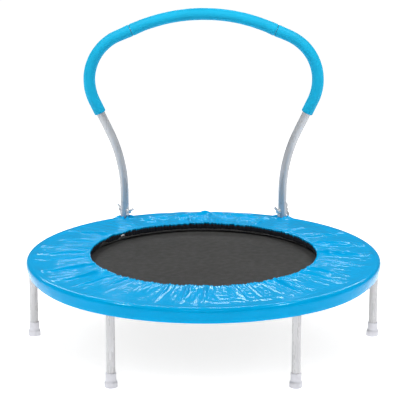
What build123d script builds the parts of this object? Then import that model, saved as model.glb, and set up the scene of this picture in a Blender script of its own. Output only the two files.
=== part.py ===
from build123d import *
import os
from math import atan2, cos, pi, radians, sin

# A mini trampoline: a round tube frame on six screw-in legs, a sprung jumping mat,
# a gathered vinyl cover over the springs and a padded handle hoop at the rear.
#
# Millimetres, +Z up. The origin is on the floor under the middle of the round frame.
# The front, where the user steps on, is at -Y. The handle stands at the rear, at +Y.
# Screw threads are plain rods and holes at their outer diameter.

# ---- Driving dimensions ----

COVER_RADIUS = 460.0          # at its widest, just under the crease
COVER_OPENING_RADIUS = 294.0  # the gathered hem round the jumping area
HEM_HEIGHT = 227.5
HEM_DEPTH = 16.0              # how far the gathered hem hangs down inside the opening
HEM_WIDTH = 10.0              # of its turned-back lower edge
CREASE_HEIGHT = 220.5
CREASE_DROP = 12.0            # the rounding's height
SKIRT_BOTTOM = 184.0
VINYL = 1.2
FOAM_THICKNESS = 7.5
COVER_GAP = 0.1               # between the vinyl and the foam under it
ELASTIC_RADIUS = 1.4

FRAME_RADIUS = 445.5          # centre line of the round frame tube
FRAME_HEIGHT = 200.0
TUBE_RADIUS = 11.0            # frame and leg tube
TUBE_WALL = 1.2

LEG_ANGLES = {
    "right": 0,
    "rear_right": 60,
    "rear_left": 120,
    "left": 180,
    "front_left": 240,
    "front_right": 300,
}
SOCKET_BOTTOM = 184.0
LEG_WASHER = 1.5
LEG_THREAD_RADIUS = 5.0       # M10, pitch 1.5
LEG_THREAD_LENGTH = 22.5      # fifteen turns
RUNNING_CLEARANCE = 0.05
FOOT_HEIGHT = 37.5
FOOT_BASE_RADIUS = 16.5
FOOT_SOLE = 4.0               # plastic under the tube's end

POST_RADIUS = 12.0            # handle tube
POST_TOP = 263.0              # seam between the post and the handle tube
HANDLE_TAPER = 2.2            # length of the taper that rests on the post's rim
HANDLE_START_RUN = 30.0       # straight up from the post
HANDLE_LEAN_RADIUS = 405.0    # gentle bend outwards
HANDLE_LEAN_ANGLE = 25.5
HANDLE_SIDE_RUN = 97.0
HANDLE_SHOULDER_RADIUS = 135.0
HANDLE_SHOULDER_ANGLE = 92.0
HANDLE_UPPER_RUN = 54.0
GRIP_RADIUS = 16.5
GRIP_LOWER_END = 59.0         # measured up the side run
GRIP_SEAM = 15.0              # measured down from the end of the upper run

BOLT_HEIGHT = 239.0           # wing bolt through each post
BOLT_ANGLE = 45.0             # the bolt's direction, from sideways towards the front
BOLT_RADIUS = 3.0             # M6, pitch 1
BOLT_REACH = 8.0              # thread past the washer
BOLT_WASHER = 1.5
BOLT_WASHER_RADIUS = 7.0
BOLT_WING_REACH = 19.0
NUT_WING_REACH = 16.0
WING_RISE = 12.0
WING_THICKNESS = 2.8
BOLT_WING_TILTS = {"right": 75, "left": -70}
NUT_WING_TILTS = {"right": 57, "left": 30}
SCREW_RADIUS = 2.0            # pan-head screws at the tube joints
SCREW_HEAD_RADIUS = 4.0
SCREW_HEAD_HEIGHT = 2.2
SCREW_LENGTH = 6.0

MAT_RADIUS = 322.0
MAT_THICKNESS = 1.5
WEBBING_INNER_RADIUS = 308.0
WEBBING_OUTER_RADIUS = 336.0
WEBBING_THICKNESS = 5.5

V_RING_HALF_WIDTH = 12.0
V_RING_LENGTH = 24.0
V_RING_CORNER = 3.5

SPRING_COUNT = 30
SPRING_RADIUS = 6.5
SPRING_WIRE = 1.0             # radius of the spring wire
RING_WIRE = 1.5               # radius of the wire of the V rings and staples
HOOK_RADIUS = 5.0             # centre line of a spring hook
HOOK_CLEARANCE = 0.3
HOOK_NECK = 8.0               # from a hook's centre to the coil

# ---- Sizes that follow from them ----

TUBE_BORE = TUBE_RADIUS - TUBE_WALL
POST_BORE = POST_RADIUS - TUBE_WALL
SWAGE_LENGTH = 35.0
SWAGE_GAP = 0.1
POST_X = FRAME_RADIUS * sin(radians(30))
POST_Y = FRAME_RADIUS * cos(radians(30))
LEG_TOP = SOCKET_BOTTOM - LEG_WASHER
V_RING_BASE = WEBBING_OUTER_RADIUS - 5.0
V_RING_HALF_ANGLE = atan2(V_RING_HALF_WIDTH, V_RING_LENGTH)
V_RING_POINT = V_RING_BASE + V_RING_LENGTH - V_RING_CORNER * (1 / sin(V_RING_HALF_ANGLE) - 1)
STAPLE_BOW = FRAME_RADIUS - TUBE_RADIUS - 7.5
SPRING_ANGLES = [360 / SPRING_COUNT * (n + 0.5) for n in range(SPRING_COUNT)]
SKIRT_RADIUS = COVER_RADIUS - VINYL
CREASE_RADIUS = FRAME_RADIUS


def save(node, shape):
    """Write one sub-part to its own file."""
    export_step(shape, f"parts/{node}.step")


def turned(shape, angle):
    """The shape turned about the vertical axis."""
    return Rot(0, 0, angle) * shape


def group(shapes):
    """Separate solids that share one node."""
    return Compound(children=[solid for shape in shapes for solid in shape.solids()])


def rod(radius, low, high):
    """An upright round bar between two heights."""
    return Pos(0, 0, low) * Cylinder(radius, high - low, align=(Align.CENTER, Align.CENTER, Align.MIN))


def tube(radius, bore, low, high):
    """An upright tube between two heights."""
    return rod(radius, low, high) - rod(bore, low, high)


def turned_solid(points):
    """The outline through these (radius, height) points, turned about the vertical axis."""
    return revolve(Plane.XZ * make_face(Polyline(*points, close=True)), Axis.Z)


def swept(path, radius, bore=0.0):
    """A round bar or tube along a path."""
    section = Circle(radius)
    if bore:
        section -= Circle(bore)
    return sweep(Plane(origin=path @ 0, z_dir=path % 0) * section, path=path)


# ---- Round frame ----

def frame_arc(start, sweep_angle, radius, bore=0.0):
    """A stretch of bent tube on the frame's centre line."""
    section = Circle(radius)
    if bore:
        section -= Circle(bore)
    placed = Plane.XZ * Pos(FRAME_RADIUS, FRAME_HEIGHT) * section
    return turned(revolve(placed, Axis.Z, revolution_arc=sweep_angle), start)


def frame_screw():
    """A pan-head screw driven up through a joint of the frame."""
    tube_bottom = FRAME_HEIGHT - TUBE_RADIUS
    head = rod(SCREW_HEAD_RADIUS, tube_bottom - SCREW_HEAD_HEIGHT, tube_bottom)
    shank = rod(SCREW_RADIUS, tube_bottom, tube_bottom + SCREW_LENGTH)
    return Pos(FRAME_RADIUS, 0) * (head + shank)


def frame_tube(start, leg_angles, screws):
    """A third of the frame. Its far end is swaged down to slide into the next third."""
    third = 120.0
    swage_angle = SWAGE_LENGTH / FRAME_RADIUS * 180 / pi
    shoulder_angle = 0.3
    swage_radius = TUBE_BORE - SWAGE_GAP
    swage_bore = swage_radius - TUBE_WALL
    body = frame_arc(start, third, TUBE_RADIUS, TUBE_BORE)
    shoulder = frame_arc(start + third - shoulder_angle, shoulder_angle, TUBE_RADIUS, swage_bore)
    swage = frame_arc(start + third - shoulder_angle, swage_angle, swage_radius, swage_bore)
    piece = body + shoulder + swage
    for angle in leg_angles:
        hole = rod(LEG_THREAD_RADIUS + RUNNING_CLEARANCE, SOCKET_BOTTOM, FRAME_HEIGHT)
        piece -= turned(Pos(FRAME_RADIUS, 0) * hole, angle)
    return piece - screws


def leg_socket():
    """A threaded boss, shaped to the underside of the frame tube and welded to it."""
    boss = Pos(FRAME_RADIUS, 0) * rod(TUBE_RADIUS - 0.5, SOCKET_BOTTOM, FRAME_HEIGHT)
    thread = Pos(FRAME_RADIUS, 0) * rod(LEG_THREAD_RADIUS + RUNNING_CLEARANCE, SOCKET_BOTTOM, FRAME_HEIGHT)
    frame = Pos(0, 0, FRAME_HEIGHT) * Torus(FRAME_RADIUS, TUBE_RADIUS)
    return boss - frame - thread


def make_frame():
    swage_middle = SWAGE_LENGTH / 2 / FRAME_RADIUS * 180 / pi
    joints = {"left": 90, "front": 210, "right": 330}
    screws = group([turned(frame_screw(), angle + swage_middle) for angle in joints.values()])
    for name, start in joints.items():
        save(f"frame_tube_{name}", frame_tube(start, [start + 30, start + 90], screws))
    save("frame_joint_screws", screws)
    socket = leg_socket()
    save("leg_sockets", group([turned(socket, angle) for angle in LEG_ANGLES.values()]))


# ---- Legs ----

def leg_stud():
    """The leg's threaded stud with the plug that is welded into the top of the leg tube."""
    plug_depth = 14.0
    top = SOCKET_BOTTOM + LEG_THREAD_LENGTH
    plug = rod(TUBE_BORE, LEG_TOP - plug_depth, LEG_TOP)
    stud = rod(LEG_THREAD_RADIUS, LEG_TOP, top)
    return plug + chamfer(stud.edges().group_by(Axis.Z)[-1], 1.2)


def foot():
    """A plastic cap: a collar round the tube over a wider bell that stands on the floor."""
    collar_radius = 13.3
    bell_height = 13.0
    step_height = 17.0
    edge = 1.5
    return turned_solid([
        (0, 0),
        (FOOT_BASE_RADIUS - edge, 0),
        (FOOT_BASE_RADIUS, edge),
        (FOOT_BASE_RADIUS - 0.5, bell_height),
        (collar_radius + 0.6, step_height),
        (collar_radius, step_height + edge),
        (collar_radius - 0.2, FOOT_HEIGHT - edge),
        (collar_radius - edge, FOOT_HEIGHT),
        (TUBE_RADIUS, FOOT_HEIGHT),
        (TUBE_RADIUS, FOOT_SOLE),
        (0, FOOT_SOLE),
    ])


def make_legs():
    pieces = {
        "leg_tube": tube(TUBE_RADIUS, TUBE_BORE, FOOT_SOLE, LEG_TOP),
        "leg_stud": leg_stud(),
        "leg_washer": tube(TUBE_RADIUS - 0.5, LEG_THREAD_RADIUS + 0.6, LEG_TOP, SOCKET_BOTTOM),
        "foot": foot(),
    }
    for place, angle in LEG_ANGLES.items():
        for name, piece in pieces.items():
            save(f"{name}_{place}", turned(Pos(FRAME_RADIUS, 0) * piece, angle))


# ---- Handle hoop ----

def handle_runs():
    """The right half of the hoop from the post's seam to the top: (length, radius, turn) of
    each run. A straight run has no radius. A turn to the right, outwards, is positive."""
    side = [
        (HANDLE_START_RUN, 0, 0),
        (HANDLE_LEAN_RADIUS * radians(HANDLE_LEAN_ANGLE), HANDLE_LEAN_RADIUS, HANDLE_LEAN_ANGLE),
        (HANDLE_SIDE_RUN, 0, 0),
        (HANDLE_SHOULDER_RADIUS * radians(HANDLE_SHOULDER_ANGLE), HANDLE_SHOULDER_RADIUS,
         -HANDLE_SHOULDER_ANGLE),
        (HANDLE_UPPER_RUN, 0, 0),
    ]
    end_x = walk(side, sum(run[0] for run in side))[0]
    rise = 90 + HANDLE_LEAN_ANGLE - HANDLE_SHOULDER_ANGLE
    top_radius = end_x / sin(radians(rise))
    return side + [(top_radius * radians(rise), top_radius, -rise)]


def walk(runs, distance):
    """Where the line is after this distance: x, z and its heading away from straight up."""
    x, z, heading = POST_X, POST_TOP, 0.0
    for length, radius, turn in runs:
        part = min(length, distance)
        if radius:
            end = heading + turn * part / length
            side = radius if turn > 0 else -radius
            x += side * (cos(radians(heading)) - cos(radians(end)))
            z += side * (sin(radians(end)) - sin(radians(heading)))
            heading = end
        else:
            x += part * sin(radians(heading))
            z += part * cos(radians(heading))
        distance -= part
        if distance <= 0:
            break
    return x, z, heading


def handle_path(runs, start, end):
    """The hoop's centre line between two distances from the post's seam."""
    edges = []
    begun = 0.0
    for length, radius, turn in runs:
        low = max(start, begun)
        high = min(end, begun + length)
        if high - low > 0.01:
            points = [(x, POST_Y, z) for x, z, _ in (walk(runs, d) for d in (low, (low + high) / 2, high))]
            edges.append(ThreePointArc(*points) if radius else Line(points[0], points[-1]))
        begun += length
    return Wire(edges)


def handle_screw(runs, distance):
    """A pan-head screw from the rear through a joint under the foam."""
    x, z, _ = walk(runs, distance)
    axis = Plane(origin=(x, POST_Y, z), z_dir=(0, 1, 0)).location
    shank = rod(SCREW_RADIUS, POST_RADIUS - SCREW_LENGTH, POST_RADIUS)
    return axis * (shank + rod(SCREW_HEAD_RADIUS, POST_RADIUS, POST_RADIUS + SCREW_HEAD_HEIGHT))


def bolt_plane(wing_tilt, outward):
    """A plane on the right post's axis at the bolt: Z along the bolt, X along the wings."""
    across = Vector(cos(radians(BOLT_ANGLE)), sin(radians(BOLT_ANGLE)), 0)
    direction = across if outward else -across
    level = Vector(-sin(radians(BOLT_ANGLE)), cos(radians(BOLT_ANGLE)), 0)
    wings = level * cos(radians(wing_tilt)) + Vector(0, 0, sin(radians(wing_tilt)))
    return Plane(origin=(POST_X, POST_Y, BOLT_HEIGHT), x_dir=wings, z_dir=direction)


def bolt_hole():
    return bolt_plane(0, True).location * rod(BOLT_RADIUS + 0.25, -2 * POST_RADIUS, 2 * POST_RADIUS)


def handle_post():
    """The upright stub, welded over the frame tube above a rear leg."""
    stub = Pos(POST_X, POST_Y) * tube(POST_RADIUS, POST_BORE, FRAME_HEIGHT + 4, POST_TOP)
    frame = Pos(0, 0, FRAME_HEIGHT) * Torus(FRAME_RADIUS, TUBE_RADIUS)
    return stub - frame - bolt_hole()


def handle_side_tube(runs, seam, screw):
    """A side of the hoop. Its swaged lower end stands inside the post, down to a taper."""
    swage_radius = POST_BORE - SWAGE_GAP
    swage_bore = swage_radius - TUBE_WALL
    swage_depth = 45.0
    taper_top = POST_TOP + HANDLE_TAPER
    swage_top = taper_top + TUBE_WALL
    bent = swept(handle_path(runs, HANDLE_TAPER, seam), POST_RADIUS, POST_BORE)
    taper = turned_solid([
        (swage_bore, POST_TOP - swage_depth),
        (swage_radius, POST_TOP - swage_depth),
        (swage_radius, POST_TOP),
        (POST_RADIUS, taper_top),
        (POST_RADIUS, swage_top),
        (swage_bore, swage_top),
    ])
    return bent + Pos(POST_X, POST_Y) * taper - bolt_hole() - screw


def handle_top_half(runs, seam, top, screws):
    """The right half of the top tube. Its swaged end slides into the side tube."""
    swage_radius = POST_BORE - SWAGE_GAP
    swage_bore = swage_radius - TUBE_WALL
    shoulder = 2.0
    bent = swept(handle_path(runs, seam, top), POST_RADIUS, POST_BORE)
    collar = swept(handle_path(runs, seam, seam + shoulder), POST_RADIUS, swage_bore)
    neck = swept(handle_path(runs, seam - SWAGE_LENGTH, seam + shoulder), swage_radius, swage_bore)
    return bent + collar + neck - screws


def wing(reach):
    """One wing of a wing nut or bolt, standing out along X and flaring away along Z."""
    root = 3.0
    root_low = 0.8
    root_high = 7.0
    tip_width = 6.0
    tip_corner = 2.0
    outline = Polyline(
        (root, root_low),
        (reach / 2, root_low + 1),
        (reach, WING_RISE / 2),
        (reach - 1, WING_RISE - 1),
        (reach - tip_width, WING_RISE),
        (root, root_high),
        close=True,
    )
    plate = make_face(outline)
    plate = fillet(plate.vertices().sort_by(Axis.X)[-3:], tip_corner)
    return extrude(Plane.XZ * plate, WING_THICKNESS / 2, both=True)


def winged_hub(height, wing_reach):
    base_radius = 6.4
    top_radius = 5.0
    hub = Pos(0, 0, height / 2) * Cone(base_radius, top_radius, height)
    return hub + wing(wing_reach) + mirror(wing(wing_reach), about=Plane.YZ)


def wing_bolt(wing_tilt):
    """The right post's bolt, pushed through from the outside, with its washer left out."""
    head_bottom = POST_RADIUS + BOLT_WASHER
    head = Pos(0, 0, head_bottom) * winged_hub(7.0, BOLT_WING_REACH)
    shaft = rod(BOLT_RADIUS, -(head_bottom + BOLT_REACH), head_bottom)
    return bolt_plane(wing_tilt, True).location * (head + shaft)


def wing_nut(wing_tilt):
    """The right post's nut, on the bolt's inner end."""
    thread = rod(BOLT_RADIUS + RUNNING_CLEARANCE, 0, 2 * BOLT_REACH)
    nut = Pos(0, 0, POST_RADIUS + BOLT_WASHER) * (winged_hub(BOLT_REACH, NUT_WING_REACH) - thread)
    return bolt_plane(wing_tilt, False).location * nut


def bolt_washer(outward):
    bore = BOLT_RADIUS + 0.3
    washer = tube(BOLT_WASHER_RADIUS, bore, POST_RADIUS, POST_RADIUS + BOLT_WASHER)
    return bolt_plane(0, outward).location * washer


def save_pair(name, right_piece, left_piece=None):
    """Save a piece for the right side, and one for the left that is drawn on the right too."""
    save(f"{name}_right", right_piece)
    save(f"{name}_left", mirror(left_piece or right_piece, about=Plane.YZ))


def make_handle():
    runs = handle_runs()
    lengths = [run[0] for run in runs]
    top = sum(lengths)
    seam = sum(lengths[:5]) - GRIP_SEAM
    grip_start = sum(lengths[:2]) + GRIP_LOWER_END
    screw = handle_screw(runs, seam - SWAGE_LENGTH / 2)
    save("handle_joint_screws", group([screw, mirror(screw, about=Plane.YZ)]))

    top_tube = handle_top_half(runs, seam, top, screw)
    save("handle_tube_top", top_tube + mirror(top_tube, about=Plane.YZ))
    top_grip = swept(handle_path(runs, seam, top), GRIP_RADIUS, POST_RADIUS)
    save("handle_grip_top", top_grip + mirror(top_grip, about=Plane.YZ))

    save_pair("handle_post", handle_post())
    save_pair("handle_tube", handle_side_tube(runs, seam, screw))
    save_pair("handle_grip", swept(handle_path(runs, grip_start, seam), GRIP_RADIUS, POST_RADIUS) - screw)
    save_pair("handle_bolt", wing_bolt(BOLT_WING_TILTS["right"]), wing_bolt(BOLT_WING_TILTS["left"]))
    save_pair("wing_nut", wing_nut(NUT_WING_TILTS["right"]), wing_nut(NUT_WING_TILTS["left"]))
    save_pair("wing_nut_washer", bolt_washer(False))
    outer_washer = bolt_washer(True)
    save("handle_bolt_washers", group([outer_washer, mirror(outer_washer, about=Plane.YZ)]))


# ---- Mat and springs ----

def v_ring_path():
    """A wire triangle, lying level, with its point outwards. It is on the X axis."""
    return FilletPolyline(
        (V_RING_BASE, V_RING_HALF_WIDTH, FRAME_HEIGHT),
        (V_RING_BASE + V_RING_LENGTH, 0, FRAME_HEIGHT),
        (V_RING_BASE, -V_RING_HALF_WIDTH, FRAME_HEIGHT),
        radius=V_RING_CORNER,
        close=True,
    )


def staple():
    """A bent wire bow on the inner side of the frame tube. It is on the X axis."""
    bow_radius = 6.0
    bow_centre = STAPLE_BOW + bow_radius
    path = Wire([
        Line((FRAME_RADIUS, -bow_radius, FRAME_HEIGHT), (bow_centre, -bow_radius, FRAME_HEIGHT)),
        ThreePointArc(
            (bow_centre, -bow_radius, FRAME_HEIGHT),
            (STAPLE_BOW, 0, FRAME_HEIGHT),
            (bow_centre, bow_radius, FRAME_HEIGHT),
        ),
        Line((bow_centre, bow_radius, FRAME_HEIGHT), (FRAME_RADIUS, bow_radius, FRAME_HEIGHT)),
    ])
    return swept(path, RING_WIRE) - Pos(0, 0, FRAME_HEIGHT) * Torus(FRAME_RADIUS, TUBE_RADIUS)


def spring_hook(centre, outward):
    """A hook at the end of a spring: a neck along the top of the coil, then half a turn."""
    side = 1 if outward else -1
    top = FRAME_HEIGHT + HOOK_RADIUS
    neck_start = (centre - side * (HOOK_NECK + 2), 0, top)
    path = Wire([
        Line(neck_start, (centre, 0, top)),
        ThreePointArc(
            (centre, 0, top),
            (centre + side * HOOK_RADIUS, 0, FRAME_HEIGHT),
            (centre, 0, FRAME_HEIGHT - HOOK_RADIUS),
        ),
    ])
    return swept(path, SPRING_WIRE)


def spring():
    """An extension spring on the X axis. The closed coil is a plain tube of its size."""
    reach = HOOK_RADIUS - SPRING_WIRE - RING_WIRE - HOOK_CLEARANCE
    inner_centre = V_RING_POINT + reach
    outer_centre = STAPLE_BOW - reach
    length = outer_centre - inner_centre - 2 * HOOK_NECK
    coil = Cylinder(SPRING_RADIUS, length) - Cylinder(SPRING_RADIUS - 2 * SPRING_WIRE, length)
    placed = Pos((inner_centre + outer_centre) / 2, 0, FRAME_HEIGHT) * Rot(0, 90, 0) * coil
    return placed + spring_hook(inner_centre, False) + spring_hook(outer_centre, True)


def make_mat():
    half_mat = MAT_THICKNESS / 2
    half_webbing = WEBBING_THICKNESS / 2
    pocket_depth = 9.0
    pocket_width = 2 * V_RING_HALF_WIDTH + 5
    pocket_height = 2 * RING_WIRE + 0.4
    mat = rod(MAT_RADIUS, FRAME_HEIGHT - half_mat, FRAME_HEIGHT + half_mat)
    band = tube(WEBBING_OUTER_RADIUS, WEBBING_INNER_RADIUS,
                FRAME_HEIGHT - half_webbing, FRAME_HEIGHT + half_webbing)
    pocket = Pos(WEBBING_OUTER_RADIUS, 0, FRAME_HEIGHT) * Box(2 * pocket_depth, pocket_width, pocket_height)
    pockets = [turned(pocket, angle) for angle in SPRING_ANGLES]
    ring = swept(v_ring_path(), RING_WIRE)
    save("mat", mat)
    save("mat_webbing", band - mat - pockets)
    save("mat_v_rings", group([turned(ring, angle) for angle in SPRING_ANGLES]))
    save("spring_staples", group([turned(staple(), angle) for angle in SPRING_ANGLES]))
    save("springs", group([turned(spring(), angle) for angle in SPRING_ANGLES]))


# ---- Cover ----

def cover_outline():
    """The vinyl's section: hanging hem, top, rounded crease and skirt."""
    side = CREASE_HEIGHT - CREASE_DROP
    hem_bottom = HEM_HEIGHT - HEM_DEPTH
    outer_corner = crease_arc(COVER_RADIUS, CREASE_HEIGHT)
    inner_corner = crease_arc(SKIRT_RADIUS, CREASE_HEIGHT - VINYL)
    hem = COVER_OPENING_RADIUS
    lines = [
        Line((hem, hem_bottom), (hem, HEM_HEIGHT)),
        Line((hem, HEM_HEIGHT), (CREASE_RADIUS, CREASE_HEIGHT)),
        outer_corner,
        Line((COVER_RADIUS, side), (SKIRT_RADIUS, SKIRT_BOTTOM)),
        Line((SKIRT_RADIUS, SKIRT_BOTTOM), (SKIRT_RADIUS - VINYL, SKIRT_BOTTOM)),
        Line((SKIRT_RADIUS - VINYL, SKIRT_BOTTOM), (SKIRT_RADIUS, side)),
        inner_corner,
        Polyline(
            (CREASE_RADIUS, CREASE_HEIGHT - VINYL),
            (hem + VINYL, HEM_HEIGHT - VINYL),
            (hem + VINYL, hem_bottom + VINYL),
            (hem + HEM_WIDTH, hem_bottom + VINYL),
            (hem + HEM_WIDTH, hem_bottom),
            (hem, hem_bottom),
        ),
    ]
    return make_face(Curve() + lines)


def crease_arc(radius, height):
    """The rounded edge where the top turns down into the skirt."""
    side = CREASE_HEIGHT - CREASE_DROP
    bulge = 0.72
    return ThreePointArc(
        (CREASE_RADIUS, height),
        (CREASE_RADIUS + (radius - CREASE_RADIUS) * bulge, side + (height - side) * bulge),
        (radius, side),
    )


def post_holes():
    """The slits that the handle posts come up through."""
    hole = Pos(POST_X, POST_Y) * rod(POST_RADIUS + 0.4, FRAME_HEIGHT + 3, HEM_HEIGHT + 10)
    return [hole, mirror(hole, about=Plane.YZ)]


def cover_foam():
    """The foam ring under the vinyl, from the hem to the top of the frame tube."""
    inner = COVER_OPENING_RADIUS + HEM_WIDTH + 0.5
    slope = (HEM_HEIGHT - CREASE_HEIGHT) / (CREASE_RADIUS - COVER_OPENING_RADIUS)
    outer_top = CREASE_HEIGHT - VINYL - COVER_GAP
    inner_top = outer_top + slope * (CREASE_RADIUS - inner)
    return turned_solid([
        (inner, inner_top),
        (CREASE_RADIUS, outer_top),
        (CREASE_RADIUS, outer_top - FOAM_THICKNESS),
        (inner, inner_top - FOAM_THICKNESS),
    ])


def make_cover():
    vinyl = revolve(Plane.XZ * cover_outline(), Axis.Z)
    elastic_height = HEM_HEIGHT - HEM_DEPTH + VINYL + ELASTIC_RADIUS
    elastic_circle = COVER_OPENING_RADIUS + VINYL + COVER_GAP + ELASTIC_RADIUS
    elastic = Pos(0, 0, elastic_height) * Torus(elastic_circle, ELASTIC_RADIUS)
    band_outer = SKIRT_RADIUS - VINYL - 0.05
    band_inner = band_outer - 0.75
    band_bottom = SKIRT_BOTTOM + 0.5
    band_width = 8.0
    save("cover_pad", vinyl - post_holes())
    save("cover_foam", cover_foam() - post_holes())
    save("cover_hem_elastic", elastic)
    save("cover_skirt_elastic", tube(band_outer, band_inner, band_bottom, band_bottom + band_width))


os.makedirs("parts", exist_ok=True)
make_frame()
make_legs()
make_handle()
make_mat()
make_cover()
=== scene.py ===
import math
import random

import bmesh
import bpy
import numpy as np
from mathutils import Matrix, Vector, noise


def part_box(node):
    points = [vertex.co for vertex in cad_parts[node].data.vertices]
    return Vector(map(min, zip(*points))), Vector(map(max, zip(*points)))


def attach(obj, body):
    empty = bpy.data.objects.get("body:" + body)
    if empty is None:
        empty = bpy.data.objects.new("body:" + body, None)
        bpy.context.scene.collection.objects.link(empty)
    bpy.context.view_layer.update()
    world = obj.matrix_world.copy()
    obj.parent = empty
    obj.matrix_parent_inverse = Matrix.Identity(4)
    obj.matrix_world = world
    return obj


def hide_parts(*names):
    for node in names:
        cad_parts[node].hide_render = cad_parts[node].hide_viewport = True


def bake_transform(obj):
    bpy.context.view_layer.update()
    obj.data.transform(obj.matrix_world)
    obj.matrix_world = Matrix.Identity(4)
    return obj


# A mini trampoline: gathered blue vinyl cover, dark woven mat on coil springs, zinc-plated tube
# frame and legs, white plastic feet and a rear handle hoop with blue foam grips.
# Metres, +Z up, front at -Y, in the frame of the CAD model.

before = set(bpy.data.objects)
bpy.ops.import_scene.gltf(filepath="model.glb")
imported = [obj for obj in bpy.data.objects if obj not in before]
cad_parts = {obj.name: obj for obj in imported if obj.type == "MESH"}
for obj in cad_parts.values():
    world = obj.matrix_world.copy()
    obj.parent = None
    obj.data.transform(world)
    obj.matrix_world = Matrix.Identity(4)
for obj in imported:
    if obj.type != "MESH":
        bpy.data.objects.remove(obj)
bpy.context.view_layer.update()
random.seed(11)

# ---- Places and sizes from the frame ----

COVER_LOW, COVER_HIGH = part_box("cover_pad")
COVER_RADIUS = COVER_HIGH[0]
SKIRT_BOTTOM = COVER_LOW[2]
HEM_TOP = COVER_HIGH[2]
ELASTIC_LOW, ELASTIC_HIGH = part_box("cover_hem_elastic")
ELASTIC_WIRE = (ELASTIC_HIGH[2] - ELASTIC_LOW[2]) / 2
HEM_RADIUS = ELASTIC_HIGH[0] - 2 * ELASTIC_WIRE - 0.0007
FOAM_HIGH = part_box("cover_foam")[1]
MAT_LOW, MAT_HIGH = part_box("mat")
MAT_RADIUS = MAT_HIGH[0]
MAT_LEVEL = (MAT_LOW[2] + MAT_HIGH[2]) / 2
WEBBING_LOW, WEBBING_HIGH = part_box("mat_webbing")
POST_LOW, POST_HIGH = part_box("handle_post_right")
POST = Vector(((POST_LOW[0] + POST_HIGH[0]) / 2, (POST_LOW[1] + POST_HIGH[1]) / 2, POST_HIGH[2]))
POST_RADIUS = (POST_HIGH[0] - POST_LOW[0]) / 2
FRAME_RADIUS = math.hypot(POST.x, POST.y)
GRIP_LOW, GRIP_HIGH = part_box("handle_grip_top")
GRIP_RADIUS = (GRIP_HIGH[1] - GRIP_LOW[1]) / 2
SPRING_COUNT = 30


# ---- Small helpers ----

def new_object(name, mesh, material):
    piece = bpy.data.objects.new(name, mesh)
    bpy.context.scene.collection.objects.link(piece)
    mesh.materials.append(material)
    return piece


def grid_mesh(name, rows, closed_rows=False):
    """A mesh from rows of points, each row a closed ring. The rows may close on each other too."""
    count = len(rows[0])
    points = [point for row in rows for point in row]
    faces = []
    last = len(rows) if closed_rows else len(rows) - 1
    for j in range(last):
        below = j * count
        above = (j + 1) % len(rows) * count
        for i in range(count):
            k = (i + 1) % count
            faces.append((below + i, below + k, above + k, above + i))
    mesh = bpy.data.meshes.new(name)
    mesh.from_pydata(points, [], faces)
    mesh.polygons.foreach_set("use_smooth", [True] * len(faces))
    return mesh


def polar(radius, angle, height):
    return Vector((radius * math.cos(angle), radius * math.sin(angle), height))


def ring_noise(angle, scale, seed):
    """Smooth noise from -1 to 1 that closes on itself round the trampoline."""
    return noise.noise(Vector((scale * math.cos(angle), scale * math.sin(angle), seed)))


def smooth_step(value):
    value = min(1.0, max(0.0, value))
    return value * value * (3 - 2 * value)


# ---- Materials ----

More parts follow.
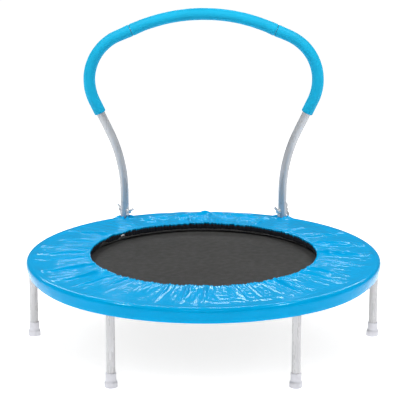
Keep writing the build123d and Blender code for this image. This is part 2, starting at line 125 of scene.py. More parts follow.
class Surface:
    """A principled material and the nodes that vary it."""

    def __init__(self, name, colour, roughness, **sockets):
        self.material = bpy.data.materials.new(name)
        self.material.use_nodes = True
        self.nodes = self.material.node_tree.nodes
        self.links = self.material.node_tree.links
        self.shader = self.nodes["Principled BSDF"]
        self.shader.inputs["Base Color"].default_value = (*colour, 1)
        self.shader.inputs["Roughness"].default_value = roughness
        for socket, value in sockets.items():
            self.shader.inputs[socket.replace("_", " ")].default_value = value
        self.colour = colour
        self.place = self.nodes.new("ShaderNodeTexCoord").outputs["Object"]
        self.height = None

    def noise(self, scale, detail=3.0, stretch=(1, 1, 1)):
        """Noise over the object, stretched along any axis."""
        mapping = self.nodes.new("ShaderNodeMapping")
        mapping.inputs["Scale"].default_value = stretch
        texture = self.nodes.new("ShaderNodeTexNoise")
        texture.inputs["Scale"].default_value = scale
        texture.inputs["Detail"].default_value = detail
        self.links.new(self.place, mapping.inputs["Vector"])
        self.links.new(mapping.outputs["Vector"], texture.inputs["Vector"])
        return texture.outputs["Fac"]

    def cells(self, scale):
        texture = self.nodes.new("ShaderNodeTexVoronoi")
        texture.inputs["Scale"].default_value = scale
        self.links.new(self.place, texture.inputs["Vector"])
        return texture.outputs["Distance"]

    def bands(self, scale, direction):
        texture = self.nodes.new("ShaderNodeTexWave")
        texture.bands_direction = direction
        texture.inputs["Scale"].default_value = scale
        self.links.new(self.place, texture.inputs["Vector"])
        return texture.outputs["Fac"]

    def vary_colour(self, factor, dark, light):
        """Runs the base colour from dark to light times itself as the factor rises."""
        ramp = self.nodes.new("ShaderNodeValToRGB")
        ramp.color_ramp.elements[0].position = 0.3
        ramp.color_ramp.elements[1].position = 0.7
        for element, scale in zip(ramp.color_ramp.elements, (dark, light)):
            element.color = (*(min(1.0, c * scale) for c in self.colour), 1)
        self.links.new(factor, ramp.inputs["Fac"])
        self.links.new(ramp.outputs["Color"], self.shader.inputs["Base Color"])

    def vary_roughness(self, factor, low, high):
        span = self.nodes.new("ShaderNodeMapRange")
        span.inputs["From Min"].default_value = 0.3
        span.inputs["From Max"].default_value = 0.7
        span.inputs["To Min"].default_value = low
        span.inputs["To Max"].default_value = high
        self.links.new(factor, span.inputs["Value"])
        self.links.new(span.outputs["Result"], self.shader.inputs["Roughness"])

    def bump(self, factor, distance, strength=1.0):
        """Adds a bump of this depth, over any bump that is already there."""
        bump = self.nodes.new("ShaderNodeBump")
        bump.inputs["Distance"].default_value = distance
        bump.inputs["Strength"].default_value = strength
        self.links.new(factor, bump.inputs["Height"])
        if self.height is not None:
            self.links.new(self.height, bump.inputs["Normal"])
        self.height = bump.outputs["Normal"]
        self.links.new(self.height, self.shader.inputs["Normal"])

    def multiply(self, first, second):
        node = self.nodes.new("ShaderNodeMath")
        node.operation = "MULTIPLY"
        self.links.new(first, node.inputs[0])
        self.links.new(second, node.inputs[1])
        return node.outputs["Value"]


def vinyl_material():
    surface = Surface("blue_vinyl", (0.0, 0.42, 0.84), 0.12, Specular_IOR_Level=0.15,
                      Specular_Tint=(0.25, 0.75, 1.0, 1), Coat_Weight=0.05, Coat_Roughness=0.04)
    surface.vary_colour(surface.noise(9, 2), 0.95, 1.03)
    surface.vary_roughness(surface.noise(28, 3), 0.09, 0.16)
    surface.bump(surface.noise(24, 3), 0.0012, 0.35)
    surface.bump(surface.noise(700, 2), 0.00005, 0.5)
    return surface.material


def foam_grip_material():
    surface = Surface("blue_foam", (0.0, 0.43, 0.70), 0.66, Specular_IOR_Level=0.25,
                      Sheen_Weight=0.05, Sheen_Roughness=0.4)
    surface.vary_colour(surface.noise(14, 4), 0.93, 1.05)
    surface.vary_roughness(surface.noise(160, 2), 0.52, 0.72)
    surface.bump(surface.cells(900), 0.0003, 0.55)
    surface.bump(surface.noise(45, 3), 0.0005, 0.35)
    return surface.material


def pad_foam_material():
    surface = Surface("white_pad_foam", (0.80, 0.80, 0.78), 0.75)
    surface.vary_colour(surface.noise(30, 3), 0.93, 1.03)
    surface.bump(surface.cells(420), 0.0006, 0.6)
    return surface.material


def tube_material():
    surface = Surface("zinc_tube", (0.62, 0.62, 0.63), 0.34, Metallic=0.3,
                      Specular_Tint=(0.7, 0.7, 0.72, 1))
    surface.vary_colour(surface.noise(35, 4, (1, 1, 0.35)), 0.90, 1.06)
    surface.vary_roughness(surface.noise(120, 3, (1, 1, 0.12)), 0.24, 0.38)
    surface.bump(surface.noise(500, 2, (1, 1, 0.06)), 0.00004, 0.35)
    return surface.material


def fastener_material():
    surface = Surface("zinc_fastener", (0.74, 0.75, 0.76), 0.25, Metallic=0.45,
                      Specular_Tint=(0.8, 0.8, 0.82, 1))
    surface.vary_colour(surface.noise(180, 3), 0.88, 1.05)
    surface.vary_roughness(surface.noise(260, 3), 0.18, 0.36)
    surface.bump(surface.noise(900, 2), 0.00005, 0.4)
    return surface.material


def spring_material():
    surface = Surface("spring_wire", (0.56, 0.57, 0.60), 0.28, Metallic=1.0)
    surface.vary_colour(surface.noise(220, 3), 0.85, 1.05)
    surface.vary_roughness(surface.noise(300, 2), 0.2, 0.4)
    return surface.material


def mat_material():
    surface = Surface("woven_mat", (0.041, 0.040, 0.038), 0.72, Specular_IOR_Level=0.25)
    weave = surface.multiply(surface.bands(210, "X"), surface.bands(210, "Y"))
    surface.vary_colour(surface.noise(5, 3), 0.88, 1.12)
    surface.vary_roughness(surface.noise(60, 2), 0.60, 0.76)
    surface.bump(weave, 0.0004, 0.5)
    return surface.material


def webbing_material():
    surface = Surface("woven_webbing", (0.022, 0.022, 0.024), 0.7)
    ribs = surface.multiply(surface.bands(160, "X"), surface.bands(160, "Y"))
    surface.vary_colour(surface.noise(120, 2), 0.8, 1.25)
    surface.bump(ribs, 0.0005, 0.7)
    return surface.material


def thread_material():
    surface = Surface("sewing_thread", (0.05, 0.05, 0.055), 0.6)
    surface.vary_colour(surface.noise(400, 2), 0.8, 1.3)
    surface.bump(surface.noise(1500, 2), 0.0001, 0.5)
    return surface.material


def elastic_material():
    surface = Surface("braided_elastic", (0.70, 0.71, 0.72), 0.75)
    surface.vary_colour(surface.noise(200, 3), 0.85, 1.05)
    surface.bump(surface.bands(300, "Z"), 0.0003, 0.6)
    return surface.material


# Near black as painted shade: this colour stands for the shadow under the cover's hem.
def hem_band_shade_material():
    surface = Surface("hem_band_painted_shade", (0.010, 0.012, 0.018), 0.75, Specular_IOR_Level=0.3)
    surface.vary_colour(surface.noise(150, 3), 0.7, 1.5)
    surface.vary_roughness(surface.noise(90, 2), 0.66, 0.84)
    surface.bump(surface.bands(420, "Z"), 0.0003, 0.5)
    return surface.material


def plastic_material():
    surface = Surface("white_plastic", (0.82, 0.82, 0.87), 0.38, Specular_IOR_Level=0.5)
    surface.vary_colour(surface.noise(50, 3), 0.95, 1.03)
    surface.vary_roughness(surface.noise(140, 3), 0.32, 0.46)
    surface.bump(surface.noise(700, 3), 0.00006, 0.5)
    return surface.material


def floor_material():
    """A pale floor that glows a little, more so away from the trampoline."""
    near_distance, near_glow = 0.8, 0.74
    far_distance, far_glow = 4.0, 0.95
    surface = Surface("pale_floor", (0.92, 0.92, 0.93), 0.9, Specular_IOR_Level=0.0)
    surface.vary_colour(surface.noise(0.6, 2), 0.99, 1.0)
    surface.shader.inputs["Emission Color"].default_value = (1, 1, 1, 1)
    distance = surface.nodes.new("ShaderNodeVectorMath")
    distance.operation = "LENGTH"
    glow = surface.nodes.new("ShaderNodeMapRange")
    glow.inputs["From Min"].default_value = near_distance
    glow.inputs["From Max"].default_value = far_distance
    glow.inputs["To Min"].default_value = near_glow
    glow.inputs["To Max"].default_value = far_glow
    surface.links.new(surface.place, distance.inputs[0])
    surface.links.new(distance.outputs["Value"], glow.inputs["Value"])
    surface.links.new(glow.outputs["Result"], surface.shader.inputs["Emission Strength"])
    return surface.material


VINYL = vinyl_material()
GRIP_FOAM = foam_grip_material()
PAD_FOAM = pad_foam_material()
TUBE = tube_material()
FASTENER = fastener_material()
SPRING_WIRE = spring_material()
MAT_FABRIC = mat_material()
WEBBING = webbing_material()
THREAD = thread_material()
ELASTIC = elastic_material()
HEM_BAND_SHADE = hem_band_shade_material()
PLASTIC = plastic_material()

NODE_MATERIALS = {
    "frame_tube": TUBE,
    "leg_sockets": TUBE,
    "leg_tube": TUBE,
    "handle_post": TUBE,
    "handle_tube": TUBE,
    "leg_stud": FASTENER,
    "leg_washer": FASTENER,
    "frame_joint_screws": FASTENER,
    "handle_joint_screws": FASTENER,
    "handle_bolt": FASTENER,
    "wing_nut": FASTENER,
    "spring_staples": SPRING_WIRE,
    "mat_v_rings": SPRING_WIRE,
    "mat_webbing": WEBBING,
    "cover_hem_elastic": ELASTIC,
    "cover_skirt_elastic": ELASTIC,
    "foot": PLASTIC,
}


def dress_nodes():
    """Gives each CAD node that stays in sight its finished material."""
    for name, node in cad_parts.items():
        for start, material in NODE_MATERIALS.items():
            if name.startswith(start):
                for material_slot in node.material_slots:
                    material_slot.material = material


# ---- Cover ----

# The cover is worked on as rows of points: one row is a ring, and the rows run inwards.
# "across" is 0 at the outer crease and 1 at the gathered hem.

COARSE_POINTS = 720
COARSE_ROWS = 24
CREASE_WIDTH = 0.0145
CREASE_DROP = 0.0120
TOP_EDGE = HEM_TOP - 0.0070
PANEL = FRAME_RADIUS - HEM_RADIUS
# Folds of each size: how many go round, their least and most reach out from the hem as a share of
# the panel's width, and their height.
FOLD_SIZES = (
    (24, 1.20, 1.70, 0.0066),
    (52, 0.70, 1.50, 0.0062),
    (108, 0.25, 0.70, 0.0030),
)
# Deeper folds at the front: angle in degrees, reach, height, and how many as wide would go round.
DEEP_FOLDS = (
    (254, 0.90, 0.0060, 70),
    (259, 1.10, -0.0060, 80),
    (263, 1.00, 0.0064, 70),
    (267, 0.85, -0.0060, 90),
    (271, 1.10, 0.0064, 80),
    (276, 0.90, -0.0064, 70),
    (284, 0.85, 0.0060, 60),
    (291, 0.90, 0.0050, 50),
    (298, 1.00, -0.0090, 34),
    (306, 1.00, 0.0060, 44),
)
LOWEST_VALLEY = -0.0036
VALLEY_SOFTNESS = 0.0006
# Heights of the loose cloth's broad rolls, small crumples and ridges: everywhere, and more at the rear.
ROLLS = (0.0020, 0.0085)
CRUMPLES = (0.0006, 0.0070)
RIDGES = (0.0002, 0.0065)
POST_ANGLES = (math.radians(60), math.radians(120))
SLAB_RADII = (0.46, 0.297)
SIM_FRAMES = 14
CLOTH_GROWTH = 0.050
SKIRT_LIFT = 0.0050
FRONT, REAR = math.radians(270), math.radians(90)


def angles(count):
    return np.arange(count) * 2 * math.pi / count


def turn_between(angle, other):
    """The smaller turn from one angle to another, with its sign."""
    return (angle - other + math.pi) % (2 * math.pi) - math.pi


def near(angle, centre, width):
    """1 at the centre, falling to 0 at this many radians to each side."""
    share = np.clip(1 - np.abs(turn_between(angle, centre)) / width, 0, 1)
    return share * share * (3 - 2 * share)


def surface_noise(angle, across, scale, stretch, seed):
    """Smooth noise over the cover's top, finer round it than across it when stretch is under 1."""
    count, rows = angle.shape[1], angle.shape[0]
    values = np.empty((rows, count))
    for j in range(rows):
        for i in range(count):
            a = angle[j, i]
            place = (scale * math.cos(a), scale * math.sin(a), seed + scale * stretch * across[j, i])
            values[j, i] = noise.noise(place)
    return values


class Fold:
    """One fold that starts at the hem and opens and fades on its way out."""

    def __init__(self, start, count, reach, height):
        self.angle = start
        self.slant = 0.08 * ring_noise(start, 3.7, 2.2) + random.uniform(-0.9, 0.9) / count
        self.reach = reach
        self.height = height
        self.width = random.uniform(0.22, 0.34) * 2 * math.pi * HEM_RADIUS / count
        self.sharpness = random.uniform(1.25, 1.9)

    def add_to(self, heights, angle, across):
        out = 1 - across
        radius = FRAME_RADIUS - PANEL * across
        offset = turn_between(angle, self.angle + self.slant * out * out) * radius
        width = self.width * (0.75 + 0.75 * out)
        fade = np.clip((self.reach - out) / (0.25 + 0.5 * self.reach), 0, 1)
        fade = fade * fade * (3 - 2 * fade)
        heights += self.height * fade * np.exp(-np.abs(offset / width) ** self.sharpness)


def spread_folds():
    """The folds of each size, broad ones first. Those at the front are shorter."""
    folds = []
    for count, low, high, height in FOLD_SIZES:
        for index in range(count):
            start = 2 * math.pi * (index + random.uniform(-0.32, 0.32)) / count
            calm_front = 0.52 * float(near(start, FRONT, 1.15))
            reach = random.uniform(low, high) * (1 - calm_front)
            size = height * random.uniform(0.45, 1.25) * random.choice((1, 1, -0.8))
            folds.append(Fold(start, count, reach, size))
    for degrees, reach, height, count in DEEP_FOLDS:
        folds.append(Fold(math.radians(degrees), count, reach, height))
    return folds


def fold_heights(angle, across):
    """How far the loose cloth stands above its plain surface."""
    heights = np.zeros(angle.shape)
    for fold in spread_folds():
        fold.add_to(heights, angle, across)
    rear = near(angle, REAR, 1.0)
    body = np.sin(math.pi * across ** 0.8)
    rolls = surface_noise(angle, across, 6.5, 0.35, 3.0)
    crumple = surface_noise(angle, across, 14, 0.5, 7.0)
    ridges = 1 - 2.6 * np.abs(surface_noise(angle, across, 9, 0.55, 12.0))
    for (everywhere, more), shape in ((ROLLS, rolls), (CRUMPLES, crumple), (RIDGES, ridges)):
        heights += body * (everywhere + more * rear) * shape
    heights -= heights.mean(axis=1, keepdims=True)
    heights *= 1 - 0.75 * np.clip((across - 0.80) / 0.20, 0, 1)
    posts = near(angle, POST_ANGLES[0], 0.13) + near(angle, POST_ANGLES[1], 0.13)
    heights *= (1 - 0.75 * posts) * np.clip(across / 0.09, 0, 1) ** 0.8
    return LOWEST_VALLEY + np.logaddexp(0, (heights - LOWEST_VALLEY) / VALLEY_SOFTNESS) * VALLEY_SOFTNESS


def rim_heights(angle):
    """How the crease rises and sinks in uneven humps between the handle posts."""
    rear = near(angle, REAR, 0.62)
    humps = np.array([ring_noise(a, 9, 5.0) for a in angle.ravel()]).reshape(angle.shape)
    return rear * (-0.0016 + 0.0042 * humps)


def start_surface():
    """The cover's top before the cloth settles, as rows of points from the crease to the hem."""
    across_steps = np.linspace(0, 1, COARSE_ROWS + 1)
    angle, across = np.meshgrid(angles(COARSE_POINTS), across_steps)
    radius = FRAME_RADIUS - PANEL * across
    height = TOP_EDGE + (HEM_TOP - TOP_EDGE) * across
    height = height + fold_heights(angle, across) + rim_heights(angle) * (1 - across)
    return np.stack((radius * np.cos(angle), radius * np.sin(angle), height), axis=-1)


def foam_top(radius):
    """Height of the padding under the cover."""
    share = (FRAME_RADIUS - radius) / PANEL
    return TOP_EDGE - 0.0042 + (HEM_TOP - TOP_EDGE) * share


def weight_rows(piece, name, weights):
    group = piece.vertex_groups.new(name=name)
    for index, weight in enumerate(weights.ravel()):
        group.add([index], float(weight), "REPLACE")
    return name


def settle(points):
    """Lets the folded panel grow and buckle as cloth over the padding."""
    rows, count, _ = points.shape
    panel = new_object("panel", grid_mesh("panel", points.tolist()), VINYL)
    angle, across = np.meshgrid(angles(count), np.linspace(0, 1, rows))
    held = np.zeros((rows, count))
    held[0] = 1
    held[-1] = 1
    held[1] = 0.6
    growth = across * (0.45 + 0.55 * near(angle, REAR, 1.1))

    slab_rows = [[polar(radius, math.radians(a), foam_top(radius)) for a in range(0, 360, 2)]
                 for radius in SLAB_RADII]
    slab = new_object("slab", grid_mesh("slab", slab_rows), VINYL)
    slab.modifiers.new("solid", "COLLISION")
    slab.collision.thickness_outer = 0.001
    slab.collision.cloth_friction = 5

    cloth = panel.modifiers.new("cloth", "CLOTH")
    cloth.settings.vertex_group_mass = weight_rows(panel, "held", held)
    cloth.settings.vertex_group_shrink = weight_rows(panel, "growth", growth)
    cloth.settings.shrink_min = 0.0
    cloth.settings.shrink_max = -CLOTH_GROWTH
    cloth.settings.quality = 5
    cloth.settings.mass = 0.25
    cloth.settings.tension_stiffness = 20
    cloth.settings.compression_stiffness = 20
    cloth.settings.shear_stiffness = 8
    cloth.settings.bending_stiffness = 12.0
    cloth.settings.tension_damping = 10
    cloth.settings.compression_damping = 10
    cloth.settings.shear_damping = 10
    cloth.settings.bending_damping = 2
    cloth.settings.air_damping = 3
    cloth.settings.effector_weights.gravity = 0.3
    cloth.collision_settings.use_self_collision = False
    cloth.collision_settings.distance_min = 0.001
    cloth.point_cache.frame_end = SIM_FRAMES
    for step in range(1, SIM_FRAMES + 1):
        bpy.context.scene.frame_set(step)
    settled = panel.evaluated_get(bpy.context.evaluated_depsgraph_get()).to_mesh()
    flat = np.empty(rows * count * 3)
    settled.vertices.foreach_get("co", flat)
    panel.modifiers.remove(cloth)
    bpy.data.objects.remove(panel)
    bpy.data.objects.remove(slab)
    bpy.context.scene.frame_set(1)
    return flat.reshape(points.shape)


def finer_rings(points):
    """Twice the points in each ring, on a smooth curve through the old ones."""
    before, after, beyond = (np.roll(points, shift, axis=1) for shift in (1, -1, -2))
    middles = (9 * (points + after) - before - beyond) / 16
    return np.stack((points, middles), axis=2).reshape(points.shape[0], -1, 3)


def finer_rows(points):
    """Twice the rows, on smooth curves through the old ones."""
    first = 2 * points[:1] - points[1:2]
    last = 2 * points[-1:] - points[-2:-1]
    padded = np.concatenate((first, points, last))
    middles = (9 * (padded[1:-2] + padded[2:-1]) - padded[:-3] - padded[3:]) / 16
    woven = np.empty((2 * len(points) - 1, *points.shape[1:]))
    woven[0::2] = points
    woven[1::2] = middles
    return woven


def pleats(angle):
    """The tight, uneven pleats that the elastic draws the hem into, from -1 to 1."""
    drift = 3.1 * np.sin(5 * angle + 1) + 1.9 * np.sin(11 * angle + 2) + 1.1 * np.sin(23 * angle)
    return (np.sin(205 * angle + 2 * drift) + 0.5 * np.sin(121 * angle + 1.7 * drift)) / 1.5


PLEATS_START = 0.72
PLEAT_RISE = 0.0013


def add_pleats(points):
    """Runs the hem's pleats a short way out into the top."""
    rows, count, _ = points.shape
    angle, across = np.meshgrid(angles(count), np.linspace(0, 1, rows))
    near_hem = np.clip((across - PLEATS_START) / (1 - PLEATS_START), 0, 1) ** 2
    points[..., 2] += PLEAT_RISE * near_hem * pleats(angle)


# Rings of the hem's turned-down edge, from the panel's last ring: outward, down, share of the pleats.
HEM_ROLL = (
    (0.0004, 0.0012, 0.3),
    (0.0008, 0.0030, 0.8),
    (0.0016, 0.0044, 1.0),
    (0.0032, 0.0050, 1.0),
    (0.0060, 0.0046, 1.0),
)
# Outline of the dark hem band, whose colour is painted shade: outward, share of the way from top to
# bottom, and share of the pleats.
BINDING_PROFILE = (
    (0.0022, 0.00, 0.6),
    (0.0010, 0.15, 0.8),
    (0.0008, 0.40, 1.0),
    (0.0008, 0.70, 1.0),
    (0.0010, 0.95, 1.0),
    (0.0022, 1.00, 1.0),
    (0.0034, 0.95, 1.0),
    (0.0036, 0.60, 1.0),
    (0.0036, 0.20, 0.8),
)
PLEAT_DEPTH = 0.0012
# Where the dark hem band is lifted: angle and half width, in degrees.
LIFTED_HEM = ((155, 6.5), (138, 4.0))
BINDING_BOTTOM = HEM_TOP - 0.0168


def outward_from(count):
    angle = angles(count)
    return np.stack((np.cos(angle), np.sin(angle), np.zeros(count)), axis=-1)


def hem_roll(hem):
    """The vinyl's inner edge, turned down and back in its pleats."""
    folded = PLEAT_DEPTH * pleats(angles(len(hem)))
    rings = []
    for outward, down, ripple in HEM_ROLL:
        ring = hem + outward_from(len(hem)) * (outward + ripple * folded)[:, None]
        ring[:, 2] -= down
        rings.append(ring)
    return np.array(rings)


def make_shaded_hem_band(hem):
    """The band that hangs from the hem, lifted in two places at the rear left. Its near-black colour is
    painted shade for the shadowed underside of the hem.
    """
    count = len(hem)
    angle = angles(count)
    folded = PLEAT_DEPTH * pleats(angle)
    bottom = BINDING_BOTTOM + 0.0010 * np.array([ring_noise(a, 16, 3.3) for a in angle])
    for centre, width in LIFTED_HEM:
        bottom = bottom + 0.0095 * near(angle, math.radians(centre), math.radians(width))
    top = hem[:, 2] - 0.0034
    rings = []
    for outward, share, ripple in BINDING_PROFILE:
        ring = hem + outward_from(count) * (outward + 0.0003 + ripple * folded)[:, None]
        ring[:, 2] = top + (bottom - top) * share
        rings.append(ring.tolist())
    # The band's near-black material is painted shade for the shadow under the hem.
    shaded_band = new_object("shaded_hem_band", grid_mesh("shaded_hem_band", rings, closed_rows=True), HEM_BAND_SHADE)
    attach(shaded_band, "frame")
    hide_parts("cover_hem_elastic")


def ring_at(angle, radius, height):
    return np.stack((radius * np.cos(angle), radius * np.sin(angle), height), axis=-1)


def skirt_edge(angle):
    """Radius and height of the skirt's lower edge, which the elastic draws up at the sides."""
    lift = SKIRT_LIFT * (near(angle, FRONT - 1.25, 0.5) + near(angle, FRONT + 1.25, 0.5))
    wave = np.array([0.0010 * ring_noise(a, 9, 4.4) + 0.0005 * ring_noise(a, 31, 9.3) for a in angle])
    return COVER_RADIUS - 0.0014 + wave - 0.4 * lift, SKIRT_BOTTOM + lift + 0.6 * wave


def skirt_surface(count):
    """The plain skirt, from its hemmed lower edge up and over the rounded crease."""
    angle = angles(count)
    side_top = TOP_EDGE - CREASE_DROP
    rim = rim_heights(angle)
    rings = []

    def add_ring(radius, height):
        rings.append(ring_at(angle, radius, height))

    edge, bottom = skirt_edge(angle)
    for inward, up in ((0.0022, 0.006), (0.0024, 0.0005), (0.0012, 0.0), (0.0, 0.0006), (-0.0002, 0.005)):
        add_ring(edge - inward, bottom + up)
    for share in (0.35, 0.55, 0.78, 1.0):
        add_ring(COVER_RADIUS + (edge - COVER_RADIUS) * (1 - share),
                 bottom + (side_top - bottom) * share)
    crease_steps = 12
    roundness = 2.7
    for step in range(1, crease_steps):
        turn = math.pi / 2 * step / crease_steps
        out = math.cos(turn) ** (2 / roundness)
        up = math.sin(turn) ** (2 / roundness)
        add_ring(COVER_RADIUS - CREASE_WIDTH * (1 - out), side_top + (CREASE_DROP + rim) * up)
    return np.array(rings)


def make_cover():
    """The vinyl cover: settled top, skirt and turned-down hem as one thin shell."""
    top = start_surface()
    top = settle(top)
    top = finer_rows(finer_rings(top))
    add_pleats(top)
    skirt = skirt_surface(top.shape[1])
    make_shaded_hem_band(top[-1])
    rows = np.concatenate((skirt, top, hem_roll(top[-1])))
    mesh = grid_mesh("spring_cover", rows.tolist())
    open_post_slits(mesh)
    cover = new_object("spring_cover", mesh, VINYL)
    shell = cover.modifiers.new("thickness", "SOLIDIFY")
    shell.thickness = 0.0010
    shell.offset = -1
    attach(cover, "frame")
    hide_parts("cover_pad")


def make_skirt_elastic():
    """The braided band sewn inside the skirt's lower edge, a little gathered."""
    angle = angles(1080)
    edge, bottom = skirt_edge(angle)
    gather = 0.00025 * np.sin(240 * angle + 2 * np.sin(9 * angle))
    band_width = 0.0080
    band = 0.0006
    outer = edge - 0.0030
    rings = []
    for out, up in ((0, 0.0008), (0, band_width), (-band, band_width), (-band, 0.0008)):
        rings.append(ring_at(angle, outer + out + gather, bottom + up))
    mesh = grid_mesh("skirt_elastic", [ring.tolist() for ring in rings], closed_rows=True)
    elastic = new_object("skirt_elastic", mesh, ELASTIC)
    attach(elastic, "frame")
    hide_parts("cover_skirt_elastic")


def open_post_slits(mesh):
    """Opens the cover round each handle post and puckers its edge up against the post."""
    gap = 0.0006
    reach = POST_RADIUS + 0.026
    shape = bmesh.new()
    shape.from_mesh(mesh)
    for side in (1, -1):
        centre = Vector((side * POST.x, POST.y))
        covered = []
        for face in shape.faces:
            middle = face.calc_center_median()
            if middle.z > SKIRT_BOTTOM + 0.026 and (middle.xy - centre).length < POST_RADIUS + gap:
                covered.append(face)
        bmesh.ops.delete(shape, geom=covered, context="FACES")
        for vertex in shape.verts:
            offset = vertex.co.xy - centre
            if vertex.co.z < SKIRT_BOTTOM + 0.02 or not 0 < offset.length < reach:
                continue
            share = smooth_step((reach - offset.length) / (reach - POST_RADIUS))
            around = math.atan2(offset.y, offset.x)
            pucker = 0.0028 * math.cos(6 * around + side) + 0.0012 * math.cos(11 * around)
            vertex.co.z += share * (0.0030 + pucker)
            clear = max(offset.length, POST_RADIUS + gap)
            vertex.co.xy = centre + offset.normalized() * clear
    shape.to_mesh(mesh)
    shape.free()


def make_padding():
    """The white foam ring under the cover: soft edges and a slightly uneven thickness."""
    section = []
    inner = HEM_RADIUS + 0.0110
    outer = FOAM_HIGH[0]
    thickness = 0.0046
    steps = 14
    for step in range(steps + 1):
        radius = outer + (inner - outer) * step / steps
        section.append((radius, 0.0))
    for step in range(steps + 1):
        radius = inner + (outer - inner) * step / steps
        section.append((radius, -thickness))
    rows = []
    for index, (radius, drop) in enumerate(section):
        edge = min(radius - inner, outer - radius)
        pinch = 0.0016 * (1 - smooth_step(edge / 0.006)) * (1 if drop < 0 else -1)
        ring = []
        for i in range(360):
            angle = math.radians(i)
            wave = 0.0008 * ring_noise(angle, 14, radius * 30) if drop < 0 else 0.0
            level = foam_top(radius) - 0.0002
            ring.append(polar(radius, angle, level + drop + pinch + wave))
        rows.append(ring)
    mesh = grid_mesh("cover_padding", rows, closed_rows=True)
    cut_post_slits_in_foam(mesh)
    padding = new_object("cover_padding", mesh, PAD_FOAM)
    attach(padding, "frame")
    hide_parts("cover_foam")


def cut_post_slits_in_foam(mesh):
    """Draws the foam's outer edge back from each post."""
    reach = POST_RADIUS + 0.0008
    for vertex in mesh.vertices:
        for side in (1, -1):
            centre = Vector((side * POST.x, POST.y))
            offset = vertex.co.xy - centre
            if offset.length < reach:
                inward = -centre.normalized()
                along = offset.dot(inward)
                across = offset - inward * along
                depth = math.sqrt(max(0.0, reach * reach - across.length_squared))
                vertex.co.xy = centre + across + inward * depth


# ---- Mat ----

def make_mat():
    """The woven mat: a thin disc, drawn tight, that dips a hair between its rings."""
    rings = 40
    count = 360
    half = (MAT_HIGH[2] - MAT_LOW[2]) / 2
    rows = []
    for side in (1, -1):
        steps = range(1, rings + 1) if side > 0 else range(rings, 0, -1)
        for step in steps:
            radius = MAT_RADIUS * step / rings
            ring = []
            for i in range(count):
                angle = 2 * math.pi * i / count
                ripple = 0.0003 * ring_noise(angle, 6 * step / rings, 5)
                slack = -0.0012 * (1 - (step / rings) ** 2) + ripple
                ring.append(polar(radius, angle, MAT_LEVEL + side * half + slack))
            rows.append(ring)
    mesh = grid_mesh("jumping_mat", rows)
    shape = bmesh.new()
    shape.from_mesh(mesh)
    shape.verts.ensure_lookup_table()
    rims = [[shape.verts[first * count + i] for i in range(count)] for first in (0, len(rows) - 1)]
    for ring in rims:
        middle = shape.verts.new(sum((v.co for v in ring), Vector()) / count)
        for i in range(count):
            shape.faces.new((ring[i], ring[(i + 1) % count], middle)).smooth = True
    bmesh.ops.recalc_face_normals(shape, faces=shape.faces)
    shape.to_mesh(mesh)
    shape.free()
    mat = new_object("jumping_mat", mesh, MAT_FABRIC)
    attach(mat, "mat")
    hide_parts("mat")


def make_stitches():
    """Two rows of thread round the webbing, top and bottom."""
    spacing = 0.0042
    wire = 0.00035
    inner = MAT_RADIUS - 0.012
    shape = bmesh.new()
    for radius in (inner + 0.002, inner + 0.020):
        count = int(2 * math.pi * radius / spacing)
        for level in (WEBBING_HIGH[2], WEBBING_LOW[2]):
            for i in range(count):
                angle = 2 * math.pi * i / count
                turn = Matrix.Rotation(angle, 4, "Z") @ Matrix.Translation((radius, 0, level))
                turn = turn @ Matrix.Diagonal((wire, spacing * 0.36, wire, 1))
                bmesh.ops.create_icosphere(shape, subdivisions=1, radius=1, matrix=turn)
    mesh = bpy.data.meshes.new("webbing_stitches")
    shape.to_mesh(mesh)
    shape.free()
    stitches = new_object("webbing_stitches", mesh, THREAD)
    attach(stitches, "mat")


# ---- Springs ----

V_RING_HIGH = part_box("mat_v_rings")[1]
SPRINGS_LOW, SPRINGS_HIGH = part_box("springs")
COIL_RADIUS = (SPRINGS_HIGH[2] - SPRINGS_LOW[2]) / 2
WIRE_RADIUS = 0.0010
HOOK_BEND = 0.0050
HALF_STEP = math.pi / SPRING_COUNT
V_RING_REACH = V_RING_HIGH[0] / math.cos(HALF_STEP)
STAPLE_REACH = FRAME_RADIUS - 0.020
STAPLE_WIRE = 0.0015
HOOK_SLACK = 0.0003
HOOK_NECK = 0.008
COIL_PITCH = 2.12 * WIRE_RADIUS
COIL_SIDES = 12


def spring_line(inner_end, outer_end):
    """The wire's middle line for a spring along X: hook, closed coil, hook."""
    coil_start = inner_end + HOOK_BEND + HOOK_NECK
    coil_end = outer_end - HOOK_BEND - HOOK_NECK
    turns = round((coil_end - coil_start) / COIL_PITCH)
    radius = COIL_RADIUS - WIRE_RADIUS
    points = []
    for step in range(9):
        turn = math.pi * (1.5 - step / 8)
        points.append((inner_end + HOOK_BEND * (1 + math.cos(turn)), 0, HOOK_BEND * math.sin(turn)))
    points.append((coil_start - HOOK_NECK * 0.45, 0, HOOK_BEND))
    for step in range(turns * COIL_SIDES + 1):
        turn = 2 * math.pi * step / COIL_SIDES
        x = coil_start + (coil_end - coil_start) * step / (turns * COIL_SIDES)
        points.append((x, radius * math.sin(turn), radius * math.cos(turn)))
    points.append((coil_end + HOOK_NECK * 0.45, 0, HOOK_BEND))
    for step in range(9):
        turn = math.pi * (0.5 - step / 8)
        points.append((outer_end - HOOK_BEND * (1 - math.cos(turn)), 0, HOOK_BEND * math.sin(turn)))
    return [Vector(point) for point in points]


def tube_along(line, radius, sides):
    """Rings of points for a round wire along a line."""
    rows = []
    up = Vector((0, 1, 0))
    for index, point in enumerate(line):
        before = line[max(index - 1, 0)]
        after = line[min(index + 1, len(line) - 1)]
        ahead = (after - before).normalized()
        up = (up - ahead * up.dot(ahead)).normalized()
        side = ahead.cross(up)
        rows.append([point + (up * math.cos(t) + side * math.sin(t)) * radius
                     for t in (2 * math.pi * k / sides for k in range(sides))])
    return rows


def capped(mesh, rows):
    """Closes both ends of a tube mesh."""
    count = len(rows[0])
    shape = bmesh.new()
    shape.from_mesh(mesh)
    shape.verts.ensure_lookup_table()
    last = (len(rows) - 1) * count
    shape.faces.new([shape.verts[i] for i in range(count)][::-1])
    shape.faces.new([shape.verts[last + i] for i in range(count)])
    shape.to_mesh(mesh)
    shape.free()
    return mesh


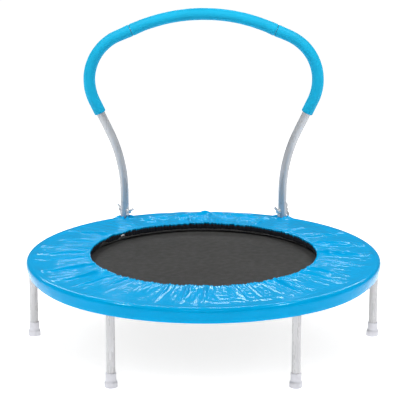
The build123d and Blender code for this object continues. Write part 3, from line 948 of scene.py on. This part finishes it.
def make_springs():
    """Thirty coil springs, each hooked to a V ring on the mat and a staple on the frame."""
    inner_end = V_RING_REACH - 2 * STAPLE_WIRE - HOOK_SLACK - WIRE_RADIUS
    outer_end = STAPLE_REACH + 2 * STAPLE_WIRE + HOOK_SLACK + WIRE_RADIUS
    line = spring_line(inner_end, outer_end)
    rows = tube_along(line, WIRE_RADIUS, 6)
    for index in range(SPRING_COUNT):
        angle = (2 * index + 1) * HALF_STEP
        turn = Matrix.Translation((0, 0, MAT_LEVEL)) @ Matrix.Rotation(angle, 4, "Z")
        placed = [[turn @ point for point in row] for row in rows]
        name = f"spring_{index + 1}"
        spring = new_object(name, capped(grid_mesh(name, placed), placed), SPRING_WIRE)
        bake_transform(spring)
        if index == 0:
            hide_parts("springs")


# ---- Handle ----

# Half of the hoop from the post up: length, bend radius and turn in degrees of each run. A straight
# run has no radius, and a bend's length comes from its turn.
RUNS = (
    (0.030, None, 0.0),
    (None, 0.405, 25.5),
    (0.097, None, 0.0),
    (None, 0.135, -92.0),
    (0.054, None, 0.0),
)
GRIP_LOWER_END = 0.059
GRIP_SEAM = 0.015


def hoop_runs():
    """The right half of the hoop's middle line, as (length, radius, turn) from the post up."""
    runs = [(length or radius * math.radians(abs(turn)), radius, turn) for length, radius, turn in RUNS]
    end = hoop_point(runs, sum(run[0] for run in runs))
    rise = 90 + sum(turn for _, _, turn in runs)
    radius = end[0].x / math.sin(math.radians(rise))
    return runs + [(radius * math.radians(rise), radius, -rise)]


def hoop_point(runs, distance):
    """The place and the heading on the middle line after this distance."""
    x, z, heading = POST.x, POST.z, 0.0
    for length, radius, turn in runs:
        part = min(length, distance)
        end = heading + math.radians(turn) * part / length
        if radius:
            bend = math.copysign(radius, turn)
            x += bend * (math.cos(heading) - math.cos(end))
            z += bend * (math.sin(end) - math.sin(heading))
        else:
            x += part * math.sin(heading)
            z += part * math.cos(heading)
        heading = end
        distance -= part
        if distance <= 0:
            break
    return Vector((x, POST.y, z)), heading


def grip_profile(distance, length, swell_start, swell_end):
    """A foam sleeve's radius: rounded lips, with a swell where it butts against the next one."""
    lip = 0.0035
    edge = min(distance, length - distance)
    radius = GRIP_RADIUS
    if edge < lip:
        radius -= lip * 0.55 * (1 - math.sqrt(max(0.0, 1 - (1 - edge / lip) ** 2)))
    radius += swell_start * math.exp(-(distance / 0.016) ** 2)
    radius += swell_end * math.exp(-((length - distance) / 0.016) ** 2)
    return radius


def make_grip(name, node, start, end, mirrored=False, full=False):
    """A foam sleeve over a stretch of the hoop. A full one runs over the top to the far side."""
    runs = hoop_runs()
    top = sum(run[0] for run in runs)
    length = 2 * (top - start) if full else end - start
    steps = int(length / 0.004)
    lips = [0.0, 0.0003, 0.0008, 0.0016, 0.0026]
    stations = lips + [0.004 + (length - 0.008) * k / steps for k in range(steps + 1)]
    stations += [length - lip for lip in reversed(lips)]
    bore = POST_RADIUS + 0.0002
    sides = 40
    outer, inner = [], []
    for distance in stations:
        along = start + distance
        point, heading = hoop_point(runs, min(along, 2 * top - along))
        if along > top:
            point.x *= -1
            heading = math.pi - heading if heading > 0 else -math.pi - heading
        if mirrored:
            point.x *= -1
        across = Vector((math.cos(heading), 0, -math.sin(heading)))
        if mirrored:
            across.x *= -1
        back = Vector((0, 1, 0))
        swell = 0.0009
        radius = grip_profile(distance, length, swell if full else 0.0, swell)
        for rings, size in ((outer, radius), (inner, bore)):
            ring = []
            for k in range(sides):
                turn = 2 * math.pi * k / sides
                out = across * math.cos(turn) + back * math.sin(turn)
                lump = 0.0
                if rings is outer:
                    lump = 0.0004 * noise.noise((point + out * size) * 38)
                ring.append(point + out * (size + lump))
            rings.append(ring)
    mesh = grid_mesh(name, outer + inner[::-1], closed_rows=True)
    shape = bmesh.new()
    shape.from_mesh(mesh)
    bmesh.ops.recalc_face_normals(shape, faces=shape.faces)
    shape.to_mesh(mesh)
    shape.free()
    grip = new_object(name, mesh, GRIP_FOAM)
    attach(grip, "frame")
    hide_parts(node)


def make_grips():
    runs = hoop_runs()
    lengths = [run[0] for run in runs]
    seam = sum(lengths[:5]) - GRIP_SEAM
    lower = sum(lengths[:2]) + GRIP_LOWER_END
    half_gap = 0.0006
    make_grip("foam_grip_right", "handle_grip_right", lower, seam - half_gap)
    make_grip("foam_grip_left", "handle_grip_left", lower, seam - half_gap, mirrored=True)
    make_grip("foam_grip_top", "handle_grip_top", seam + half_gap, None, full=True)


# ---- Stage, light and camera ----

def soft_light(name, place, target, size, power):
    lamp = bpy.data.lights.new(name, "AREA")
    lamp.shape = "RECTANGLE"
    lamp.size, lamp.size_y = size
    lamp.energy = power
    light = bpy.data.objects.new(name, lamp)
    light.location = place
    light.rotation_euler = (Vector(target) - Vector(place)).to_track_quat("-Z", "Y").to_euler()
    bpy.context.scene.collection.objects.link(light)


def make_stage():
    half = 40.0
    floor_rows = [[polar(half * share, math.radians(a), -0.0005) for a in range(0, 360, 10)]
                  for share in (1.0, 0.5, 0.1, 0.00001)]
    floor = new_object("floor", grid_mesh("floor", floor_rows), floor_material())
    world = bpy.data.worlds.new("studio")
    world.use_nodes = True
    world.node_tree.nodes["Background"].inputs["Color"].default_value = (0.95, 0.97, 1.0, 1)
    world.node_tree.nodes["Background"].inputs["Strength"].default_value = 0.10
    bpy.context.scene.world = world
    middle = (0, 0, 0.25)
    soft_light("key_left", (-1.1, -0.2, 2.1), middle, (0.45, 0.12), 22)
    soft_light("key_right", (1.1, -0.2, 2.1), middle, (0.45, 0.12), 22)
    soft_light("front", (0.0, -1.9, 2.1), middle, (1.2, 0.8), 9)
    soft_light("rear", (0.0, 2.05, 1.62), middle, (3.3, 0.11), 17)


def make_camera():
    """The camera of the fitted view: 4.4 m away, looking 14 degrees down."""
    lens = bpy.data.cameras.new("camera")
    lens.sensor_width = 36.0
    lens.lens = 148.4
    camera = bpy.data.objects.new("camera", lens)
    camera.location = (0.0, -4.131, 1.412)
    camera.rotation_euler = (math.radians(90 - 14.19), 0, 0.0022)
    bpy.context.scene.collection.objects.link(camera)
    bpy.context.scene.camera = camera


bpy.context.scene.view_settings.view_transform = "Standard"
dress_nodes()
make_camera()
make_stage()
make_padding()
make_cover()
make_skirt_elastic()
make_mat()
make_stitches()
make_springs()
make_grips()
